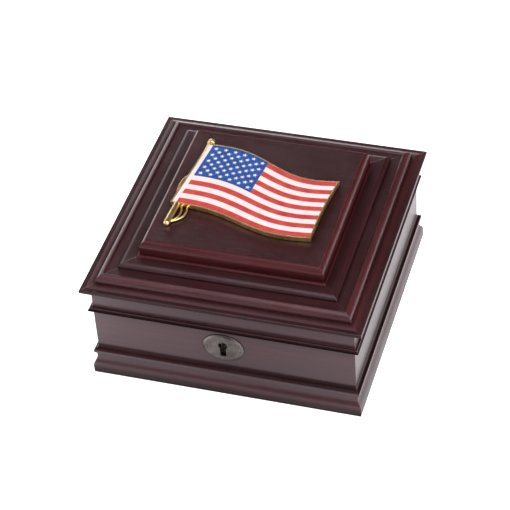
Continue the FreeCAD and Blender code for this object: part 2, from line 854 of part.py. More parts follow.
def wood_screw(top, way):
    """Slotted countersunk wood screw, head up at top."""
    head, shank = screw_cutters("screw", top, way)
    x, y, z = top
    half_length, half_width = S.screw_head_radius + S.fit_gap, S.screw_slot * 0.5
    slot_low = z if way > 0 else z - S.screw_slot
    slot = box("screw_slot", (x - half_length, y - half_width, slot_low),
               (x + half_length, y + half_width, slot_low + S.screw_slot))
    return cut("wood_screw", fuse("screw_blank", [head, shank]), [slot])


def keep_node(item, label):
    item.Label = label
    doc.recompute()
    return keep(item)


def keep_box(label, low, high):
    return keep_node(box(label, low, high), label)


# ---------------------------------------------------------------- hinges

def hinge_axis():
    return SimpleNamespace(y=S.half_lid - S.hinge_setback, z=S.rim_z + S.seam_gap * 0.5)


def knuckle_spans():
    """X spans of the five knuckles, measured from the hinge's middle, with their owner."""
    pitch = SIZES["hinge_length"] / 5
    gap = SIZES["knuckle_gap"] / 2
    spans = []
    for index in range(5):
        start = -SIZES["hinge_length"] / 2 + pitch * index
        owner = "box" if index % 2 == 0 else "lid"
        low = start if index == 0 else start + gap
        high = start + pitch if index == 4 else start + pitch - gap
        spans.append((owner, low, high))
    return spans


def leaf_low(owner):
    """Underside of a leaf: let into the box rim, or into the underside of the lid."""
    return S.rim_z - S.leaf_thickness if owner == "box" else lid_bottom()


def leaf_plate(name, owner, x):
    axis, low = hinge_axis(), leaf_low(owner)
    return box(name, (x - S.hinge_length * 0.5, axis.y - S.leaf_reach, low),
               (x + S.hinge_length * 0.5, axis.y - S.knuckle_radius, low + S.leaf_thickness))


def hinge_leaf(label, owner, x):
    """Leaf with its knuckles, pin bore and screw holes; box leaves have stop tabs, lid leaves heels."""
    axis, low = hinge_axis(), leaf_low(owner)
    tab_top = low - S.stop_tab_drop
    tab_near = S.half_lid - S.wall_inset
    tab_far = tab_near + S.stop_tab_thickness
    solids = [leaf_plate(f"{label}_plate", owner, x)]
    for knuckle_owner, start, end in knuckle_spans():
        if knuckle_owner != owner:
            continue
        left, right = x + start, x + end
        centre = (left, axis.y, axis.z)
        solids.append(cylinder(f"{label}_knuckle", centre, S.knuckle_radius, end - start, (1, 0, 0)))
        solids.append(box(f"{label}_neck", (left, axis.y - S.knuckle_radius - S.neck_overlap, low),
                          (right, axis.y - S.pin_radius - S.neck_wall, low + S.leaf_thickness)))
        if owner == "lid":
            solids.append(stop_heel(f"{label}_heel", left, end - start, axis))
        else:
            solids.append(box(f"{label}_tab_root", (left, tab_near, tab_top - S.stop_tab_height),
                              (right, tab_far, low + S.leaf_thickness)))
    if owner == "box":
        half = S.hinge_length * 0.5
        solids.append(box(f"{label}_tab", (x - half, tab_near, tab_top - S.stop_tab_height),
                          (x + half, tab_far, tab_top)))
    gap = S.pin_press_gap if owner == "box" else S.pin_running_gap
    bore = cylinder(f"{label}_bore", (x - S.hinge_length, axis.y, axis.z), S.pin_radius + gap,
                    S.hinge_length * 2, (1, 0, 0))
    tools = [bore]
    for side in (-1, 1):
        tools += screw_cutters(f"{label}_hole", leaf_screw_top(owner, x, side), screw_way(owner))
    return keep(cut(label, fuse(f"{label}_solid", solids), tools))


def stop_heel(name, start, length, axis):
    """Tab on a lid knuckle, drawn where it lands at the stop angle and swung back to closed."""
    heel = doc.addObject("Part::Box", name)
    bind(heel, "Length", length)
    bind(heel, "Width", S.heel_thickness)
    bind(heel, "Height", S.heel_reach)
    tab_face = S.stop_tab_thickness + S.stop_gap - S.wall_inset + S.hinge_setback
    landing = Vector(0, tab_face.value, -S.heel_reach.value)
    swing = FreeCAD.Rotation(Vector(1, 0, 0), S.stop_angle.value)
    corner = swing.multVec(landing)
    heel.Placement = FreeCAD.Placement(Vector(0, 0, 0), swing)
    bind(heel, "Placement.Base.x", start)
    bind(heel, "Placement.Base.y", axis.y + corner.y)
    bind(heel, "Placement.Base.z", axis.z + corner.z)
    return heel


def screw_way(owner):
    return -1 if owner == "box" else 1


def leaf_screw_top(owner, x, side):
    """Head centre of a leaf screw: flush with the leaf face that shows when the lid is open."""
    z = S.rim_z if owner == "box" else lid_bottom()
    return (x + S.leaf_screw_x * side, hinge_axis().y - S.leaf_screw_reach, z)


def build_hinges():
    screws = {"box": [], "lid": []}
    axis = hinge_axis()
    for side_name, side in (("left", -1), ("right", 1)):
        x = S.hinge_x * side
        for owner in ("box", "lid"):
            hinge_leaf(f"hinge_{side_name}_{owner}_leaf", owner, x)
            for screw_side in (-1, 1):
                screws[owner].append(wood_screw(leaf_screw_top(owner, x, screw_side), screw_way(owner)))
        pin_start = (x - S.hinge_length * 0.5, axis.y, axis.z)
        pin = cylinder("hinge_pin", pin_start, S.pin_radius, S.hinge_length, (1, 0, 0))
        keep_node(pin, f"hinge_{side_name}_pin")
    for owner in ("box", "lid"):
        keep(group(f"hinge_screws_{owner}", screws[owner]))


# ---------------------------------------------------------------- walls and rims, cut for the hardware

def hinge_mortise(name, owner, x):
    """Recess for a leaf, open to the back; the lid's also clears the barrel through the bead."""
    axis = hinge_axis()
    left, right = x - S.hinge_length * 0.5, x + S.hinge_length * 0.5
    inner_y = axis.y - S.leaf_reach
    outer_y = S.half_lid + OVERCUT
    if owner == "box":
        return [box(name, (left, inner_y, S.rim_z - S.leaf_thickness), (right, outer_y, S.rim_z + OVERCUT))]
    low, clear = lid_bottom() - OVERCUT, S.notch_gap
    leaf = box(name, (left, inner_y, low), (right, outer_y, lid_bottom() + S.leaf_thickness))
    barrel = box(f"{name}_barrel", (left - clear, S.half_lid - S.wall_inset - S.fit_gap, low),
                 (right + clear, outer_y, axis.z + S.knuckle_radius + clear))
    return [leaf, barrel]


def cut_front_wall(rail):
    """Front wall with the lock mortise, keyhole and pilot holes."""
    lock, gap, over_z = lock_box(), S.fit_gap, S.rim_z + OVERCUT
    face_y = out(S.wall_inset)
    tools = [
        box("lock_mortise", (-lock.half - gap, lock.front - gap, lock.low - gap),
            (lock.half + gap, lock.back + OVERCUT, over_z)),
        box("flange_recess", (-S.flange_half_width, lock.front, lock.top),
            (S.flange_half_width, lock.back + OVERCUT, over_z)),
    ]
    depth = S.wall_thickness - S.lock_depth + 2 * OVERCUT
    tools += keyhole_tools("wall_keyhole", face_y - OVERCUT, depth, S.keyhole_clearance)
    for side in (-1, 1):
        start = (S.pin_spacing * side, face_y - OVERCUT, S.escutcheon_z)
        depth = S.pin_length - S.escutcheon_thickness + OVERCUT
        tools.append(cylinder("pin_pilot", start, S.pin_shank_radius, depth, (0, 1, 0)))
        tools += screw_cutters("flange_pilot", (S.flange_screw_x * side, screw_row_y(), S.rim_z), -1)
    keep(cut("box_wall_front", rail, tools))


def cut_front_rim(rail, link_near):
    """Front of the lid rim with the link plate's recess."""
    tools = [box("link_recess", (-S.link_half_width, link_near, lid_bottom() - OVERCUT),
                 (S.link_half_width, lock_box().back + OVERCUT, lid_bottom() + S.flange_thickness))]
    for side in (-1, 1):
        tools += screw_cutters("link_pilot", (S.link_screw_x * side, screw_row_y(), lid_bottom()), 1)
    keep(cut("lid_band_front", rail, tools))


def cut_back(label, owner, rail):
    """Back wall or back of the lid rim with the hinge mortises and pilot holes."""
    tools = []
    for side in (-1, 1):
        x = S.hinge_x * side
        tools += hinge_mortise(f"{label}_mortise", owner, x)
        for screw_side in (-1, 1):
            top = leaf_screw_top(owner, x, screw_side)
            tools += screw_cutters(f"{label}_pilot", top, screw_way(owner))
    keep(cut(label, rail, tools))


def build_cut_rails(rails, link_near):
    """Finish the rails that carry hardware, and keep the plain ones as they are."""
    cut_front_wall(rails["wall_front"])
    cut_front_rim(rails["lid_rim_front"], link_near)
    cut_back("box_wall_back", "box", rails["wall_back"])
    cut_back("lid_band_back", "lid", rails["lid_rim_back"])
    for side in ("left", "right"):
        keep_node(rails[f"wall_{side}"], f"box_wall_{side}")
        keep_node(rails[f"lid_rim_{side}"], f"lid_band_{side}")
    for family in ("base_rail", "lid_frame", "lid_step"):
        for side in SIDES:
            keep(rails[f"{family}_{side}"])


# ---------------------------------------------------------------- medallion

def flag_point(along, down, z=0.0):
    """Point of the waving flag; along runs 0..1 from hoist to fly, down 0..1 from top to foot."""
    def blend(top, foot):
        return SIZES[top] * (1 - down) + SIZES[foot] * down

    x = blend("hoist_top_x", "hoist_foot_x") * (1 - along) + blend("fly_top_x", "fly_foot_x") * along
    y = blend("hoist_top_y", "hoist_foot_y") * (1 - along) + blend("fly_top_y", "fly_foot_y") * along
    y += SIZES["wave_sag"] * math.sin(math.pi * along)
    y += blend("wave_top", "wave_foot") * math.sin(2 * math.pi * along)
    x -= SIZES["fly_bow"] * along * math.sin(math.pi * min(max(down, 0), 1))
    return Vector(x, y, z)


def flag_curve(start, end, z, steps):
    """Smooth edge on the flag between two (along, down) places."""
    points = []
    for step in range(steps + 1):
        share = step / steps
        along = start[0] + (end[0] - start[0]) * share
        down = start[1] + (end[1] - start[1]) * share
        points.append(flag_point(along, down, z))
    curve = Part.BSplineCurve()
    curve.interpolate(points)
    return curve.toShape()


def flag_patch(along, down, low_z, thickness):
    """Solid over a patch of the flag, given by its ranges along and down."""
    corners = [(along[0], down[0]), (along[1], down[0]), (along[1], down[1]), (along[0], down[1])]
    edges = []
    for index, corner in enumerate(corners):
        following = corners[(index + 1) % 4]
        edges.append(flag_curve(corner, following, low_z, CURVE_STEPS[index % 2]))
    return Part.Face(Part.Wire(edges)).extrude(Vector(0, 0, thickness))


def shape_node(label, shape):
    node = doc.addObject("Part::Feature", label)
    node.Label = label
    node.Shape = shape
    node.Placement = FreeCAD.Placement()
    return keep(node)


def spline_rod(points, radius):
    """Round cord swept along a smooth line."""
    curve = Part.BSplineCurve()
    curve.interpolate([Vector(*point) for point in points])
    path = Part.Wire([curve.toShape()])
    start, direction = curve.value(0), curve.tangent(0)[0]
    profile = Part.Wire([Part.Circle(start, direction, radius).toShape()])
    return path.makePipeShell([profile], True, False)


def medallion_levels():
    base = SIZES["panel_z"] + SIZES["medallion_pad"]
    face = base + SIZES["casting_thickness"]
    return SimpleNamespace(base=base, face=face, floor=face - SIZES["enamel_recess"])


def flag_spans():
    """Shares of the flag's length and depth that its border, heading and enamel gap take."""
    length = (flag_point(1, 0) - flag_point(0, 0)).Length
    depth = (flag_point(0, 1) - flag_point(0, 0)).Length
    return SimpleNamespace(rim_along=SIZES["rim_width"] / length, rim_down=SIZES["rim_width"] / depth,
                           gap_along=SIZES["enamel_gap"] / length, gap_down=SIZES["enamel_gap"] / depth,
                           heading=SIZES["heading_width"] / length)


def pole_shape(levels):
    """Flagpole with a rounded foot and its finial, flat underneath."""
    height = levels.base + SIZES["pole_axis_height"]
    foot = Vector(SIZES["pole_foot_x"], SIZES["pole_foot_y"], height)
    top = Vector(SIZES["pole_top_x"], SIZES["pole_top_y"], height)
    radius = SIZES["pole_radius"]
    finial = SIZES["finial_radius"]
    rod = Part.makeCylinder(radius, (top - foot).Length, foot, top - foot)
    collar_foot = top - (top - foot).normalize() * SIZES["collar_drop"]
    collar = Part.makeCylinder(SIZES["collar_radius"], SIZES["collar_height"], collar_foot, top - foot)
    knob = Part.makeSphere(finial, top + Vector(0, finial * 0.5, 0))
    pole = rod.fuse([Part.makeSphere(radius, foot), collar, knob])
    reach = SIZES["half_lid"]
    table = Part.makeBox(2 * reach, 2 * reach, 10, Vector(-reach, -reach, levels.base))
    return pole.common(table)


def cord_shapes(levels):
    """Halyard loop beside the pole and the two cord ends that hang below the flag."""
    height = levels.base + SIZES["cord_height"]
    paths = [
        [(-48.0, 10.4), (-52.2, 5.6), (-53.4, -2.2), (-52.6, -9.2), (-49.6, -13.6)],
        [(-46.0, -21.0), (-44.3, -26.4), (-43.8, -30.8), (-44.9, -35.0), (-49.4, -38.6)],
        [(-41.8, -21.0), (-40.6, -27.0), (-41.2, -32.6), (-44.2, -36.6), (-49.4, -39.8)],
    ]
    radius = SIZES["cord_radius"]
    return [spline_rod([(x, y, height) for x, y in path], radius) for path in paths]


def build_casting(levels, spans):
    """Cast body of the medallion: bordered flag, pole, finial, cords and two fixing studs."""
    thickness = levels.face - levels.base
    along = (-spans.heading - spans.rim_along, 1 + spans.rim_along)
    down = (-spans.rim_down, 1 + spans.rim_down)
    plate = flag_patch(along, down, levels.base, thickness)
    studs = []
    for side in (-1, 1):
        root = Vector(SIZES["stud_spacing"] * side / 2, 0, levels.base - SIZES["stud_length"] + 0.5)
        studs.append(Part.makeCylinder(SIZES["stud_radius"], SIZES["stud_length"], root))
    solid = plate.fuse([pole_shape(levels)] + cord_shapes(levels) + studs)
    recess = flag_patch((-spans.heading, 1), (0, 1), levels.floor, SIZES["pole_radius"] * 2)
    shape_node("medallion_casting", solid.cut(recess).removeSplitter())


def star_solid(centre, direction, levels):
    """Five-pointed star, one point towards the flag's top edge."""
    radius = SIZES["star_radius"]
    inner = radius * math.sin(math.radians(18)) / math.sin(math.radians(54))
    points = []
    for index in range(10):
        reach = radius if index % 2 == 0 else inner
        angle = direction + math.pi / 5 * index
        points.append(centre + Vector(math.cos(angle), math.sin(angle), 0) * reach)
    outline = Part.makePolygon(points + [points[0]])
    return Part.Face(outline).extrude(Vector(0, 0, SIZES["enamel_thickness"]))


def star_solids(levels):
    """Fifty stars: five rows of six between four rows of five."""
    stars = []
    canton_depth = CANTON_STRIPES / STRIPES
    for row in range(STAR_ROWS):
        for column in range(STAR_COLUMNS):
            if (row + column) % 2:
                continue
            along = SIZES["canton_length"] * (column + 1) / (STAR_COLUMNS + 1)
            down = canton_depth * (row + 1) / (STAR_ROWS + 1)
            centre = flag_point(along, down, levels.floor)
            up = flag_point(along, down - 0.01, levels.floor) - centre
            stars.append(star_solid(centre, math.atan2(up.y, up.x), levels))
    return stars


def build_enamel(levels, spans):
    """Enamel fillings: seven red and six white stripes, white heading, blue canton and stars."""
    thickness = SIZES["enamel_thickness"]
    canton = SIZES["canton_length"]
    top, foot, fly = spans.gap_down, 1 - spans.gap_down, 1 - spans.gap_along
    fills = {"red": [], "white": []}
    for stripe in range(STRIPES):
        start = canton if stripe < CANTON_STRIPES else 0
        down = (max(stripe / STRIPES, top), min((stripe + 1) / STRIPES, foot))
        colour = "red" if stripe % 2 == 0 else "white"
        fills[colour].append(flag_patch((start, fly), down, levels.floor, thickness))
    heading = (spans.gap_along - spans.heading, 0)
    fills["white"].append(flag_patch(heading, (top, foot), levels.floor, thickness))
    shape_node("enamel_red", Part.makeCompound(fills["red"]))
    shape_node("enamel_white", Part.makeCompound(fills["white"]))
    stars = star_solids(levels)
    field = flag_patch((0, canton), (top, CANTON_STRIPES / STRIPES), levels.floor, thickness)
    shape_node("enamel_blue", field.cut(stars))
    shape_node("enamel_stars", Part.makeCompound(stars))


def build_medallion_pads(levels):
    """Strips of adhesive pad that hold the casting off the panel, clear of its studs."""
    strips = []
    down = (PAD_STRIP_MARGIN, 1 - PAD_STRIP_MARGIN)
    for start in PAD_STRIP_STARTS:
        along = (start, start + PAD_STRIP_WIDTH)
        strips.append(flag_patch(along, down, SIZES["panel_z"], SIZES["medallion_pad"]))
    shape_node("medallion_pads", Part.makeCompound(strips))


def build_medallion():
    levels, spans = medallion_levels(), flag_spans()
    build_casting(levels, spans)
    build_enamel(levels, spans)
    build_medallion_pads(levels)


# ---------------------------------------------------------------- check and write

def check_document():
    """Stop if any object failed to rebuild or any sub-part has no valid shape."""
    doc.recompute()
    for item in doc.Objects:
        if "Invalid" in item.State or "Error" in item.State:
            raise RuntimeError(f"{item.Label} did not rebuild: {item.State}")
    for node in NODES:
        if node.Shape.isNull() or not node.Shape.isValid() or not node.Shape.Solids:
            raise RuntimeError(f"{node.Label} has no valid solid")


def write_parts():
    os.makedirs("parts", exist_ok=True)
    for node in NODES:
        node.Shape.exportStep(os.path.join("parts", f"{node.Label}.step"))


def main():
    rails = build_mouldings()
    build_panel()
    build_boards_and_pads()
    build_feet()
    build_escutcheon()
    build_lock()
    link_near = build_link_plate()
    build_hinges()
    build_cut_rails(rails, link_near)
    build_medallion()
    check_document()
    write_parts()


main()
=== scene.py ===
"""Looks for the keepsake box: wood, metal and enamel finishes, velvet lining, studio and camera.

Metres, in the CAD model's frame: +Z up, the keyhole side towards -Y, +X to the right seen from the front.
"""
import json
import math

import bmesh
import bpy
from mathutils import Matrix, Vector, noise


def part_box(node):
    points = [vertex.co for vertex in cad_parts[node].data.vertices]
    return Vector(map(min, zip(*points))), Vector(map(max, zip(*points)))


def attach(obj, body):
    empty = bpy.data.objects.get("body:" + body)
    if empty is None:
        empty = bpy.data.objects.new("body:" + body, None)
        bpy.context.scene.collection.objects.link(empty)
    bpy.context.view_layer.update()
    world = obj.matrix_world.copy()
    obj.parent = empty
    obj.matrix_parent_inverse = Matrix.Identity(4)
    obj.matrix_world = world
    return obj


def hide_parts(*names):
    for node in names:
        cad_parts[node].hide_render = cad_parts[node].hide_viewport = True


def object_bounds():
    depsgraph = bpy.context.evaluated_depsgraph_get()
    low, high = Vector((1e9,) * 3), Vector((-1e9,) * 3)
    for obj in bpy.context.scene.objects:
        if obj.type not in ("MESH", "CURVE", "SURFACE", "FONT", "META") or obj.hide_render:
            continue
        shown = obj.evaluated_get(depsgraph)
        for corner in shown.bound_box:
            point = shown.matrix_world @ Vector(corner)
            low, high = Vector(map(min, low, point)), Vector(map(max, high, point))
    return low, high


MM = 0.001

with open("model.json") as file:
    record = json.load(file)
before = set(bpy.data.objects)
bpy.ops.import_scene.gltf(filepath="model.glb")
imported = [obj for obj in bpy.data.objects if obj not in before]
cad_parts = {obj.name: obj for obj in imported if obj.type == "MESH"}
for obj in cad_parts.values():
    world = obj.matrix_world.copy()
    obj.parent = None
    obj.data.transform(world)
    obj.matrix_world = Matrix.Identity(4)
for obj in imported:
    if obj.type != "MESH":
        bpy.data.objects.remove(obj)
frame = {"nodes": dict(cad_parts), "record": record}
CAD_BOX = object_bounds()
NODES = frame["nodes"]
HALF = (CAD_BOX[1].x - CAD_BOX[0].x) / 2     # half the box's width; the camera is placed in this unit


# ---------------------------------------------------------------- node tree helper

class Shader:
    """Builds one material's node tree with short calls."""

    def __init__(self, name):
        self.material = bpy.data.materials.new(name)
        self.material.use_nodes = True
        self.tree = self.material.node_tree
        self.bsdf = self.tree.nodes["Principled BSDF"]
        self.place = self.node("ShaderNodeTexCoord").outputs["Object"]

    def node(self, kind, **settings):
        made = self.tree.nodes.new(kind)
        for key, value in settings.items():
            setattr(made, key, value)
        return made

    def feed(self, socket, value):
        """Give an input a number, a colour or another node's output."""
        if isinstance(value, bpy.types.NodeSocket):
            self.tree.links.new(value, socket)
        else:
            socket.default_value = value

    def set(self, **inputs):
        """Set inputs of the main shader; Coat_Weight means "Coat Weight"."""
        for key, value in inputs.items():
            self.feed(self.bsdf.inputs[key.replace("_", " ")], value)

    def math(self, operation, first, second=0.0):
        made = self.node("ShaderNodeMath", operation=operation)
        self.feed(made.inputs[0], first)
        self.feed(made.inputs[1], second)
        return made.outputs[0]

    def stretched(self, scale, shift=(0, 0, 0)):
        """Object coordinates scaled per axis (cycles per metre), then shifted."""
        made = self.node("ShaderNodeMapping")
        self.feed(made.inputs["Vector"], self.place)
        self.feed(made.inputs["Scale"], scale)
        self.feed(made.inputs["Location"], shift)
        return made.outputs["Vector"]

    def noise(self, vector, scale=1.0, detail=3.0, roughness=0.5, distortion=0.0):
        made = self.node("ShaderNodeTexNoise")
        for key, value in (("Vector", vector), ("Scale", scale), ("Detail", detail),
                           ("Roughness", roughness), ("Distortion", distortion)):
            self.feed(made.inputs[key], value)
        return made.outputs["Fac"]

    def ramp(self, factor, *stops):
        """Colour ramp from (position, colour) stops."""
        made = self.node("ShaderNodeValToRGB")
        self.feed(made.inputs["Fac"], factor)
        elements = made.color_ramp.elements
        while len(elements) < len(stops):
            elements.new(0.5)
        for element, (position, colour) in zip(elements, stops):
            element.position = position
            element.color = (*colour, 1.0)
        return made.outputs["Color"]

    def span(self, value, low, high, out_low=0.0, out_high=1.0):
        """Map a range of values to another, clamped."""
        made = self.node("ShaderNodeMapRange")
        for key, number in (("Value", value), ("From Min", low), ("From Max", high),
                            ("To Min", out_low), ("To Max", out_high)):
            self.feed(made.inputs[key], number)
        return made.outputs["Result"]

    def mix(self, factor, first, second, blend="MIX"):
        """Mix two colours."""
        made = self.node("ShaderNodeMix", data_type="RGBA", blend_type=blend)
        for index, value in ((0, factor), (6, first), (7, second)):
            self.feed(made.inputs[index], value)
        return made.outputs[2]

    def bump(self, height, distance, strength=1.0, under=None):
        """Bump of a real height in metres, laid over another bump if given."""
        made = self.node("ShaderNodeBump")
        self.feed(made.inputs["Height"], height)
        self.feed(made.inputs["Distance"], distance)
        self.feed(made.inputs["Strength"], strength)
        if under is not None:
            self.feed(made.inputs["Normal"], under)
        return made.outputs["Normal"]

    def edges(self, radius):
        """A mask, 1 on sharp edges and 0 on flat faces, and a normal that rounds the edges over."""
        bevel = self.node("ShaderNodeBevel", samples=4)
        self.feed(bevel.inputs["Radius"], radius)
        dot = self.node("ShaderNodeVectorMath", operation="DOT_PRODUCT")
        self.feed(dot.inputs[0], bevel.outputs["Normal"])
        self.feed(dot.inputs[1], self.node("ShaderNodeNewGeometry").outputs["Normal"])
        return self.span(dot.outputs["Value"], 0.995, 0.85), bevel.outputs["Normal"]

    def openness(self, reach):
        """1 on open faces, falling towards 0 deep in recesses narrower than the reach."""
        made = self.node("ShaderNodeAmbientOcclusion", samples=4)
        self.feed(made.inputs["Distance"], reach)
        return made.outputs["AO"]

    def axes(self):
        """Object coordinates as three numbers."""
        made = self.node("ShaderNodeSeparateXYZ")
        self.feed(made.inputs["Vector"], self.place)
        return made.outputs


def colour(red, green, blue):
    return (red, green, blue, 1.0)


# ---------------------------------------------------------------- finishes

WHITE = colour(1, 1, 1)

WALL_FOOT, SEAM = (corner.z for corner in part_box("box_wall_front"))
LIP_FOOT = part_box("lid_frame_front")[0].z

# painted shade lines on the outer mouldings, where the stain and its gloss are darkened to stand for shadow
# lines: height of the middle, half width, fade on either side, and the share of the wood's colour kept at
# the middle
SHADE_LINES = (
    (3.0 * MM, 2.5 * MM, 3.0 * MM, 0.65),               # foot of the base moulding
    (WALL_FOOT + 4.6 * MM, 1.4 * MM, 1.8 * MM, 0.45),   # cove over the skirt bead
    (SEAM + 0.2 * MM, 1.1 * MM, 1.2 * MM, 0.10),        # beads on both sides of the seam
    (SEAM + 3.4 * MM, 1.4 * MM, 1.4 * MM, 0.72),        # cove over the seam
    (LIP_FOOT + 1.5 * MM, 0.9 * MM, 0.5 * MM, 0.50),    # underside and face of the lip
)
SHADE_LINE_DEPTH = 6.2 * MM      # only this far in from the outermost faces

# the raised panel's rounded edge: how far in it starts and how wide it is
PANEL_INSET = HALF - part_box("lid_panel")[1].x
PANEL_ROUND = 3.6 * MM


def wood_figure(s, along):
    """Colour of the stained wood, and its pores; the grain runs along axis 0 for X or 1 for Y."""
    own = s.node("ShaderNodeAttribute", attribute_type="OBJECT", attribute_name="grain_shift")

    def grain(length, width):
        """Coordinates whose noise is this long along the grain and this wide across it, in millimetres."""
        scale = [1000 / width] * 3
        scale[along] = 1000 / length
        return s.stretched(scale, own.outputs["Vector"])

    ribbon = s.noise(grain(240, 22), detail=2)
    streaks = s.noise(grain(60, 1.6), detail=5, roughness=0.62, distortion=0.25)
    pores = s.span(s.noise(grain(5.5, 0.28), detail=2), 0.60, 0.70)
    tone = s.math("ADD", s.math("MULTIPLY", ribbon, 0.45), s.math("MULTIPLY", streaks, 0.55))
    wood = s.ramp(tone, (0.34, (0.016, 0.0030, 0.0036)), (0.50, (0.028, 0.0054, 0.0064)),
                  (0.66, (0.046, 0.0105, 0.0115)))
    return s.mix(s.math("MULTIPLY", pores, 0.55), wood, colour(0.008, 0.002, 0.0025)), pores


def painted_highlight_masks(s, inset, z):
    """Masks for a painted highlight, drawn as a lighter stain: on the lid's round moulding, and on the
    raised panel's edge.
    """
    black, white = (0.0, 0.0, 0.0), (1.0, 1.0, 1.0)
    lit_moulding = s.ramp(s.math("MULTIPLY", inset, 1 / HALF), (0.030, black), (0.055, white), (0.135, white),
                      (0.150, black))
    lit_moulding = s.math("MULTIPLY", lit_moulding, s.span(z, 75.8 * MM, 76.6 * MM))
    middle = PANEL_INSET + PANEL_ROUND / 2 - 1 * MM
    from_middle = s.math("ABSOLUTE", s.math("SUBTRACT", inset, middle))
    lit_panel_edge = s.span(from_middle, PANEL_ROUND / 2 + 1 * MM, PANEL_ROUND / 2 + 2 * MM, 1.0, 0.0)
    return lit_moulding, lit_panel_edge


def shade_line_share(s, inset, z):
    """Share of the wood's colour and gloss that the painted shade lines keep, 1 away from them."""
    share = 1.0
    for height, half, fade, left in SHADE_LINES:
        away = s.math("ABSOLUTE", s.math("SUBTRACT", z, height))
        share = s.math("MULTIPLY", share, s.span(away, half, half + fade, left, 1.0))
    return s.math("MAXIMUM", share, s.span(inset, SHADE_LINE_DEPTH, SHADE_LINE_DEPTH + 0.5 * MM))


def mahogany(name, along):
    """Dark stained mahogany under satin lacquer."""
    s = Shader(name)
    wood, pores = wood_figure(s, along)
    x, y, z = s.axes()
    inset = s.math("SUBTRACT", HALF, s.math("MAXIMUM", s.math("ABSOLUTE", x), s.math("ABSOLUTE", y)))
    lit_moulding, lit_panel_edge = painted_highlight_masks(s, inset, z)
    open_share = s.openness(10 * MM)
    recess_shade = s.span(open_share, 0.42, 0.96)       # painted shade: the wood darkens in every recess, by ambient occlusion
    line_shade = shade_line_share(s, inset, z)
    # painted light in the stain: lighter on the round moulding and the panel edge as a painted highlight,
    # darker in recesses and along the shade lines as painted shade
    for tint in (s.mix(lit_moulding, WHITE, colour(1.65, 1.65, 1.6)),
                 s.mix(lit_panel_edge, WHITE, colour(1.9, 1.6, 1.6)),
                 s.ramp(recess_shade, (0.0, (0.15, 0.135, 0.14)), (1.0, (1.0, 1.0, 1.0))),
                 line_shade):
        wood = s.mix(1.0, wood, tint, "MULTIPLY")
    edge, rounded = s.edges(0.45 * MM)
    # sharp edges lightened: edge wear, and a painted highlight along the arrises
    wood = s.mix(s.math("MULTIPLY", edge, 0.25), wood, colour(0.08, 0.022, 0.022))
    # painted shade in the reflections as well: the gloss is cut along the shade lines and in recesses, and
    # lowered on the panel edge
    gloss = s.math("MULTIPLY", s.math("MULTIPLY", line_shade, line_shade), s.span(open_share, 0.44, 0.86, 0.07, 0.74))
    gloss = s.math("MULTIPLY", gloss, s.span(lit_panel_edge, 0.0, 1.0, 1.0, 0.45))
    mottle = s.noise(s.place, 35, detail=3)
    s.set(Base_Color=wood, Roughness=s.span(mottle, 0.3, 0.7, 0.29, 0.37),
          IOR=1.5, Specular_IOR_Level=gloss, Specular_Tint=colour(0.98, 0.90, 1.0),
          Coat_Weight=0.05, Coat_IOR=1.5, Coat_Roughness=0.10)
    peel = s.bump(s.noise(s.place, 900, detail=2), 0.006 * MM, under=rounded)
    s.set(Normal=s.bump(pores, -0.02 * MM, under=peel),
          Coat_Normal=s.bump(pores, -0.008 * MM, under=peel))
    return s.material


def backing_board(name):
    """Stained plywood of the lid's and floor's boards."""
    s = Shader(name)
    figure = s.noise(s.stretched((30, 420, 420)), detail=4, roughness=0.6)
    s.set(Base_Color=s.ramp(figure, (0.3, (0.030, 0.014, 0.012)), (0.7, (0.075, 0.036, 0.028))),
          Roughness=s.span(figure, 0.3, 0.7, 0.5, 0.7), Normal=s.bump(figure, 0.03 * MM))
    return s.material


def metal(name, dark, light, roughness, brushed=None, grain_depth=0.004, tarnish=0.5):
    """Worn metal: tone and roughness vary in patches, with fine scratches along an axis if brushed."""
    s = Shader(name)
    patches = s.noise(s.place, 160, detail=5, roughness=0.6)
    speck = s.noise(s.place, 1400, detail=3)
    scale = [2600, 2600, 2600]
    if brushed is not None:
        scale[brushed] = 60
    scratch = s.noise(s.stretched(scale), detail=3, roughness=0.7)
    tone = s.math("ADD", s.math("MULTIPLY", patches, tarnish), s.math("MULTIPLY", speck, 1 - tarnish))
    base = s.ramp(tone, (0.32, dark), (0.62, light))
    edge, rounded = s.edges(0.25 * MM)
    base = s.mix(s.math("MULTIPLY", edge, 0.5), base, (*(min(1, c * 1.25) for c in light), 1.0))
    s.set(Base_Color=base, Metallic=1.0,
          Roughness=s.span(scratch, 0.3, 0.7, roughness * 0.8, roughness * 1.3),
          Normal=s.bump(scratch, grain_depth * MM, under=rounded))
    return s.material


def enamel(name, base, shade):
    """Glass-like soft enamel: pooled colour with a gentle ripple under a glossy skin."""
    s = Shader(name)
    pool = s.noise(s.place, 140, detail=3)
    speck = s.noise(s.place, 1800, detail=2)
    tint = s.ramp(s.math("ADD", s.math("MULTIPLY", pool, 0.7), s.math("MULTIPLY", speck, 0.3)),
                  (0.30, shade), (0.62, base))
    s.set(Base_Color=tint, Roughness=s.span(speck, 0.3, 0.7, 0.16, 0.26), Coat_Weight=1.0,
          Coat_Roughness=0.06, Normal=s.bump(pool, 0.05 * MM), Coat_Normal=s.bump(pool, 0.03 * MM))
    return s.material


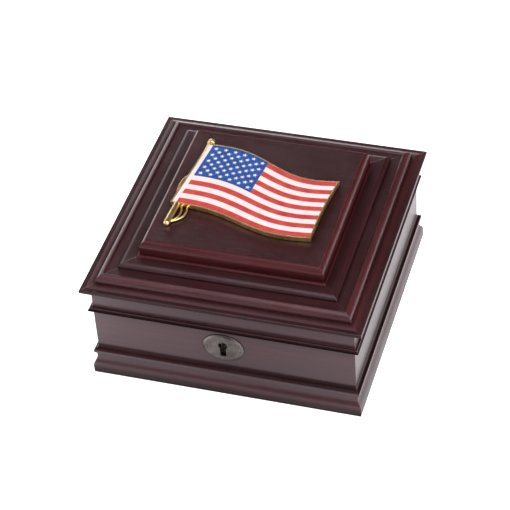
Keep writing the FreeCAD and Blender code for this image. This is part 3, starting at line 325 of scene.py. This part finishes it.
def velvet(name, deep, sheen):
    """Short pile velvet: nap lies in soft patches and catches light at grazing angles."""
    s = Shader(name)
    nap = s.noise(s.place, 28, detail=3, roughness=0.6, distortion=0.6)
    pile = s.noise(s.place, 4200, detail=2, roughness=0.8)
    lit = tuple(c * 2.4 for c in deep)
    s.set(Base_Color=s.ramp(s.math("ADD", s.math("MULTIPLY", nap, 0.6), s.math("MULTIPLY", pile, 0.4)),
                            (0.35, deep), (0.65, lit)),
          Roughness=0.95, Specular_IOR_Level=0.1, Sheen_Weight=s.span(nap, 0.3, 0.7, 0.55, 1.0),
          Sheen_Roughness=0.35, Sheen_Tint=(*sheen, 1.0), Normal=s.bump(pile, 0.12 * MM))
    return s.material


def felt(name, dark, light):
    """Pressed felt: short random fibres, no shine."""
    s = Shader(name)
    fibre = s.noise(s.place, 2200, detail=4, roughness=0.75, distortion=1.5)
    s.set(Base_Color=s.ramp(fibre, (0.35, dark), (0.65, light)), Roughness=1.0, Specular_IOR_Level=0.05,
          Sheen_Weight=0.4, Normal=s.bump(fibre, 0.1 * MM))
    return s.material


def foam(name):
    """Closed cell foam tape: small round cells."""
    s = Shader(name)
    cells = s.node("ShaderNodeTexVoronoi")
    s.feed(cells.inputs["Vector"], s.place)
    s.feed(cells.inputs["Scale"], 3500.0)
    depth = cells.outputs["Distance"]
    s.set(Base_Color=s.ramp(depth, (0.1, (0.03, 0.03, 0.03)), (0.6, (0.11, 0.11, 0.11))),
          Roughness=0.9, Normal=s.bump(depth, 0.05 * MM))
    return s.material


# how brightly the table top glows: in the middle, further out than the box's sides, more per metre to
# either side and to the back, and the two distances in metres between which it fades out
FLOOR_GLOW = 0.34
GLOW_BESIDE = 1.10
GLOW_PER_METRE = (3.6, 0.8)
GLOW_ENDS = (0.45, 0.65)


def studio_white(name):
    """Pale table top lit from below: evenly white to the camera, brighter at the sides in reflections."""
    s = Shader(name)
    fibre = s.noise(s.place, 30, detail=2)
    x, y, _ = s.axes()
    reach = s.math("SQRT", s.math("ADD", s.math("MULTIPLY", x, x), s.math("MULTIPLY", y, y)))
    aside = s.math("ABSOLUTE", x)
    slope = s.math("ADD", s.math("MULTIPLY", aside, GLOW_PER_METRE[0]),
                   s.math("MULTIPLY", y, GLOW_PER_METRE[1]))
    level = s.span(aside, HALF, 1.5 * HALF, FLOOR_GLOW, FLOOR_GLOW + GLOW_BESIDE)
    pool = s.math("MULTIPLY", s.math("ADD", slope, level), s.span(reach, *GLOW_ENDS, 1.0, 0.0))
    seen = s.node("ShaderNodeLightPath").outputs["Is Camera Ray"]
    s.set(Base_Color=s.ramp(fibre, (0.3, (0.49, 0.49, 0.492)), (0.7, (0.51, 0.51, 0.512))), Roughness=0.9,
          Specular_IOR_Level=0.1, Emission_Color=colour(1, 1, 1),
          Emission_Strength=s.math("MAXIMUM", s.math("MAXIMUM", pool, 0.0), seen))
    return s.material


FINISHES = {
    "backing_board": backing_board("stained_board"),
    "velvet": velvet("black_velvet", (0.006, 0.006, 0.0075), (0.55, 0.56, 0.66)),
    "felt": felt("black_felt", (0.010, 0.010, 0.010), (0.035, 0.034, 0.033)),
    "aged_pewter": metal("aged_pewter", (0.055, 0.046, 0.042), (0.19, 0.165, 0.155), 0.32),
    "lock_steel": metal("stamped_steel", (0.34, 0.32, 0.29), (0.58, 0.56, 0.52), 0.32, brushed=0),
    "hinge_brass": metal("satin_brass", (0.42, 0.29, 0.11), (0.74, 0.55, 0.25), 0.30, brushed=0),
    "screw_brass": metal("turned_brass", (0.45, 0.31, 0.12), (0.80, 0.60, 0.28), 0.24),
    "gold_plate": metal("gold_plate", (0.60, 0.39, 0.14), (0.96, 0.72, 0.35), 0.34, tarnish=0.7),
    "foam_tape": foam("foam_tape"),
    "enamel_red": enamel("red_enamel", (0.58, 0.080, 0.070), (0.42, 0.040, 0.040)),
    "enamel_white": enamel("white_enamel", (0.82, 0.72, 0.71), (0.72, 0.62, 0.61)),
    "enamel_blue": enamel("blue_enamel", (0.026, 0.100, 0.34), (0.016, 0.056, 0.23)),
}
MAHOGANY = [mahogany("mahogany_x", 0), mahogany("mahogany_y", 1)]


def dress_nodes():
    """Give every CAD node its finish; rails take the mahogany whose grain runs along them."""
    slots = {part["node"]: part["material_slot"] for part in frame["record"]["subparts"]}
    for number, (name, node) in enumerate(sorted(NODES.items())):
        if slots[name] == "mahogany":
            runs_on_y = name.endswith(("_left", "_right"))
            material = MAHOGANY[int(runs_on_y)]
            node["grain_shift"] = [number * 3.17, number * 1.93, number * 5.41]
        else:
            material = FINISHES[slots[name]]
        node.data.materials.clear()
        node.data.materials.append(material)


# ---------------------------------------------------------------- soft parts

def mesh_object(name, vertices, faces, material):
    data = bpy.data.meshes.new(name)
    data.from_pydata(vertices, [], faces)
    data.update()
    made = bpy.data.objects.new(name, data)
    bpy.context.scene.collection.objects.link(made)
    data.materials.append(material)
    for polygon in data.polygons:
        polygon.use_smooth = True
    return made


def pad_mesh(name, centre, u, v, w, half_u, half_v, thickness, steps, material):
    """Closed pad on a flat back: full in the middle, with shoulders that roll down to its edges.

    u and v span the back, w points out of its face. Returns the object and the indices of the
    back's vertices.
    """
    def spread(index, count):
        """-1..1, closer together near the ends."""
        return math.sin((index / count - 0.5) * math.pi)

    def shoulder(across, half):
        """Share of full thickness at a distance from the edge: a quarter round as deep as the pad."""
        depth = min((1 - abs(across)) * half / thickness, 1)
        return math.sqrt(max(0.0, 1 - (1 - depth) ** 2))

    columns, rows = steps
    vertices, face_index, back = [], {}, []
    for side in ("face", "back"):
        for i in range(columns + 1):
            for j in range(rows + 1):
                s, t = spread(i, columns), spread(j, rows)
                rim = i in (0, columns) or j in (0, rows)
                if side == "back" and rim:
                    face_index[side, i, j] = face_index["face", i, j]
                    continue
                height = thickness * shoulder(s, half_u) * shoulder(t, half_v) if side == "face" else 0
                lump = noise.noise(Vector((s * 2.1, t * 2.1, centre.z * 50))) * 0.04 * thickness
                rise = max(height + lump * (height > 0), 0)
                point = centre + u * (s * half_u) + v * (t * half_v) + w * rise
                face_index[side, i, j] = len(vertices)
                vertices.append(point)
                if side == "back" or rim:
                    back.append(face_index[side, i, j])
    faces = []
    for i in range(columns):
        for j in range(rows):
            ring = [(i, j), (i + 1, j), (i + 1, j + 1), (i, j + 1)]
            faces.append([face_index["face", a, b] for a, b in ring])
            faces.append([face_index["back", a, b] for a, b in reversed(ring)])
    made = mesh_object(name, vertices, faces, material)
    return made, back


SIM_SCALE = 10      # cloth settles better at ten times life size
SIM_FRAMES = 20


def swell(pad, back, cap):
    """Fill the pad by cloth simulation with its back held still; no point moves more than cap."""
    trial = pad.copy()
    trial.data = pad.data.copy()
    trial.data.transform(Matrix.Scale(SIM_SCALE, 4))
    bpy.context.scene.collection.objects.link(trial)
    trial.vertex_groups.new(name="held").add(back, 1.0, "REPLACE")
    cloth = trial.modifiers.new("fill", "CLOTH")
    settings = cloth.settings
    settings.quality = 6
    settings.mass = 0.3
    settings.tension_stiffness = settings.compression_stiffness = 12
    settings.bending_stiffness = 0.4
    settings.vertex_group_mass = "held"
    settings.use_pressure = True
    settings.uniform_pressure_force = 4
    settings.effector_weights.gravity = 0
    cloth.point_cache.frame_start, cloth.point_cache.frame_end = 1, SIM_FRAMES
    scene = bpy.context.scene
    for number in range(1, SIM_FRAMES + 1):
        scene.frame_set(number)
    filled = trial.evaluated_get(bpy.context.evaluated_depsgraph_get()).to_mesh()
    for vertex, moved in zip(pad.data.vertices, filled.vertices):
        travel = moved.co / SIM_SCALE - vertex.co
        if travel.length > cap:
            travel *= cap / travel.length
        vertex.co += travel
    bpy.data.objects.remove(trial)
    scene.frame_set(1)


def smooth_once(piece):
    """One level of subdivision."""
    piece.modifiers.new("subdivision", "SUBSURF").levels = 1
    piece.modifiers["subdivision"].render_levels = 1


def make_pad(name, node, face_axis, face_sign, body, shrink, cap, steps):
    """Velvet covered pad in place of a plain CAD solid; it bulges along the signed axis.

    It starts smaller than the solid by shrink on every side, and swells by no more than cap.
    """
    low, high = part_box(node)
    middle = (low + high) / 2
    size = high - low
    w = Vector((0, 0, 0))
    w[face_axis] = face_sign
    u = Vector((0, 0, 0))
    u[(face_axis + 1) % 3] = 1
    v = w.cross(u)
    half_u = size[(face_axis + 1) % 3] / 2 - shrink
    half_v = size[(face_axis + 2) % 3] / 2 - shrink
    back_centre = middle - w * (size[face_axis] / 2)
    pad, back = pad_mesh(name, back_centre, u, v, w, half_u, half_v, size[face_axis], steps,
                         FINISHES["velvet"])
    swell(pad, back, cap)
    smooth_once(pad)
    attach(pad, body)
    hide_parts(node)


def make_lining():
    make_pad("floor_cushion", "floor_pad", 2, 1, "box", shrink=0.6 * MM, cap=1.1 * MM, steps=(56, 56))
    make_pad("lid_cushion", "lid_pad", 2, -1, "lid", shrink=0.8 * MM, cap=1.3 * MM, steps=(56, 56))
    liners = (("front", 1, 1), ("back", 1, -1), ("left", 0, 1), ("right", 0, -1))
    for side, axis, sign in liners:
        make_pad(f"lining_{side}", f"wall_liner_{side}", axis, sign, "box", shrink=0.05 * MM,
                 cap=0.15 * MM, steps=(14, 48))


def felt_disc(name, centre, radius, height):
    """Die cut felt disc with a slightly rounded, fuzzy rim."""
    rings = [(0.0, height), (0.55, height), (0.93, height), (0.985, height * 0.82), (1.0, height * 0.5),
             (0.985, height * 0.15), (0.95, 0.0), (0.5, 0.0), (0.0, 0.0)]
    sectors = 48
    vertices, faces = [], []
    for share, z in rings:
        for sector in range(sectors):
            angle = 2 * math.pi * sector / sectors
            fuzz = noise.noise(Vector((math.cos(angle) * 9, math.sin(angle) * 9, z * 4000))) * 0.006 * share
            reach = radius * (share + fuzz - 0.006 * share)
            vertices.append(centre + Vector((math.cos(angle) * reach, math.sin(angle) * reach, z)))
    for ring in range(len(rings) - 1):
        for sector in range(sectors):
            after = (sector + 1) % sectors
            a, b = ring * sectors, (ring + 1) * sectors
            faces.append([a + sector, b + sector, b + after, a + after])
    made = mesh_object(name, vertices, faces, FINISHES["felt"])
    tidy = bmesh.new()
    tidy.from_mesh(made.data)
    bmesh.ops.remove_doubles(tidy, verts=tidy.verts, dist=0.001 * MM)
    bmesh.ops.recalc_face_normals(tidy, faces=tidy.faces)
    tidy.to_mesh(made.data)
    tidy.free()
    return made


def make_feet():
    low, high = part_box("felt_feet")
    radius = foot_radius()
    for side_x, name_x in ((-1, "left"), (1, "right")):
        for side_y, name_y in ((-1, "front"), (1, "back")):
            x = (high.x - radius) * side_x
            y = (high.y - radius) * side_y
            foot = felt_disc(f"felt_foot_{name_y}_{name_x}", Vector((x, y, low.z)), radius, high.z - low.z)
            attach(foot, "box")
            if (side_x, side_y) == (1, 1):
                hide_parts("felt_feet")


def foot_radius():
    """Radius of one CAD foot: half the spread in X of the vertices in one quarter."""
    quarter = [v.co.x for v in NODES["felt_feet"].data.vertices if v.co.x > 0 and v.co.y > 0]
    return (max(quarter) - min(quarter)) / 2


def make_foam_strips():
    """Foam strips under the medallion, with their sharp edges rounded by a small bevel."""
    node = NODES["medallion_pads"]
    strips = node.copy()
    strips.data = node.data.copy()
    strips.name = "foam_strips"
    strips.parent = None
    for key in list(strips.keys()):
        del strips[key]
    bpy.context.scene.collection.objects.link(strips)
    shape = bmesh.new()
    shape.from_mesh(strips.data)
    bmesh.ops.remove_doubles(shape, verts=shape.verts, dist=0.001 * MM)
    edges = [e for e in shape.edges if len(e.link_faces) == 2 and e.calc_face_angle() > 1.0]
    bmesh.ops.bevel(shape, geom=edges, offset=0.08 * MM, segments=2, affect="EDGES")
    shape.to_mesh(strips.data)
    shape.free()
    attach(strips, "lid")
    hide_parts("medallion_pads")


# ---------------------------------------------------------------- studio

AZIMUTH = 19.04         # degrees to the right of straight in front
ELEVATION = 41.577
ROLL = -4.205
DISTANCE = 14.23        # camera lengths below are in units of HALF
AIM_HEIGHT = 0.4
SHIFT_RIGHT = -0.0459
SHIFT_UP = 0.0451
LENS = 138.78           # on a 36 mm sensor

TENT = 0.02             # brightness of the dark room round the set
# soft boxes: degrees to the right of straight in front, elevation, half angle of the even part,
# half angle where the light ends, brightness
SOFT_BOXES = [
    (62, 22, 18, 50, 2.6),      # key, right
    (280, 12, 20, 42, 2.1),     # fill, left
    (325, 4, 10, 24, 1.6),      # end of the fill, left of the camera
    (206, 5, 8, 22, 4.2),       # strip, low behind
    (238, 66, 6, 24, 0.9),      # overhead, left
    (40, 62, 14, 32, 5.0),      # overhead, right of the camera
]


def towards(azimuth, elevation):
    """Unit vector; both angles in degrees, azimuth 0 towards -Y and 90 towards +X."""
    turn, lift = math.radians(azimuth), math.radians(elevation)
    return Vector((math.sin(turn) * math.cos(lift), -math.cos(turn) * math.cos(lift), math.sin(lift)))


def build_world():
    """Dark room with round soft boxes, drawn by direction."""
    world = bpy.data.worlds.new("studio_room")
    bpy.context.scene.world = world
    world.use_nodes = True
    tree = world.node_tree
    direction = tree.nodes.new("ShaderNodeTexCoord").outputs["Generated"]
    total = None
    for azimuth, elevation, even, end, strength in SOFT_BOXES:
        dot = tree.nodes.new("ShaderNodeVectorMath")
        dot.operation = "DOT_PRODUCT"
        tree.links.new(direction, dot.inputs[0])
        dot.inputs[1].default_value = towards(azimuth, elevation)
        spread = tree.nodes.new("ShaderNodeMapRange")
        spread.interpolation_type = "SMOOTHSTEP"
        tree.links.new(dot.outputs["Value"], spread.inputs["Value"])
        spread.inputs["From Min"].default_value = math.cos(math.radians(end))
        spread.inputs["From Max"].default_value = math.cos(math.radians(even))
        spread.inputs["To Max"].default_value = strength
        add = tree.nodes.new("ShaderNodeMath")
        add.operation = "ADD"
        tree.links.new(spread.outputs["Result"], add.inputs[0])
        if total is None:
            add.inputs[1].default_value = TENT
        else:
            tree.links.new(total, add.inputs[1])
        total = add.outputs[0]
    tree.links.new(total, tree.nodes["Background"].inputs["Strength"])
    tree.nodes["Background"].inputs["Color"].default_value = colour(1.0, 0.99, 1.0)


def build_floor():
    size = 40 * HALF
    corners = [(-size, -size, 0), (size, -size, 0), (size, size, 0), (-size, size, 0)]
    floor = mesh_object("studio_floor", [Vector(c) for c in corners], [(0, 1, 2, 3)],
                        studio_white("studio_white"))


def build_camera():
    roll = math.radians(ROLL)
    back = towards(AZIMUTH, ELEVATION)
    level = towards(AZIMUTH + 90, 0)
    upright = back.cross(level)
    right = level * math.cos(roll) + upright * math.sin(roll)
    up = upright * math.cos(roll) - level * math.sin(roll)
    aim = Vector((0, 0, AIM_HEIGHT))
    place = (aim + right * SHIFT_RIGHT + up * SHIFT_UP + back * DISTANCE) * HALF
    camera = bpy.data.objects.new("camera", bpy.data.cameras.new("camera"))
    camera.data.lens = LENS
    camera.data.sensor_width = 36
    camera.data.clip_start, camera.data.clip_end = HALF, 400 * HALF
    rotation = Matrix((right, up, back)).transposed()
    camera.matrix_world = Matrix.Translation(place) @ rotation.to_4x4()
    bpy.context.scene.collection.objects.link(camera)
    bpy.context.scene.camera = camera


dress_nodes()
make_lining()
make_feet()
make_foam_strips()
build_world()
build_floor()
build_camera()
bpy.context.scene.view_settings.view_transform = "Standard"
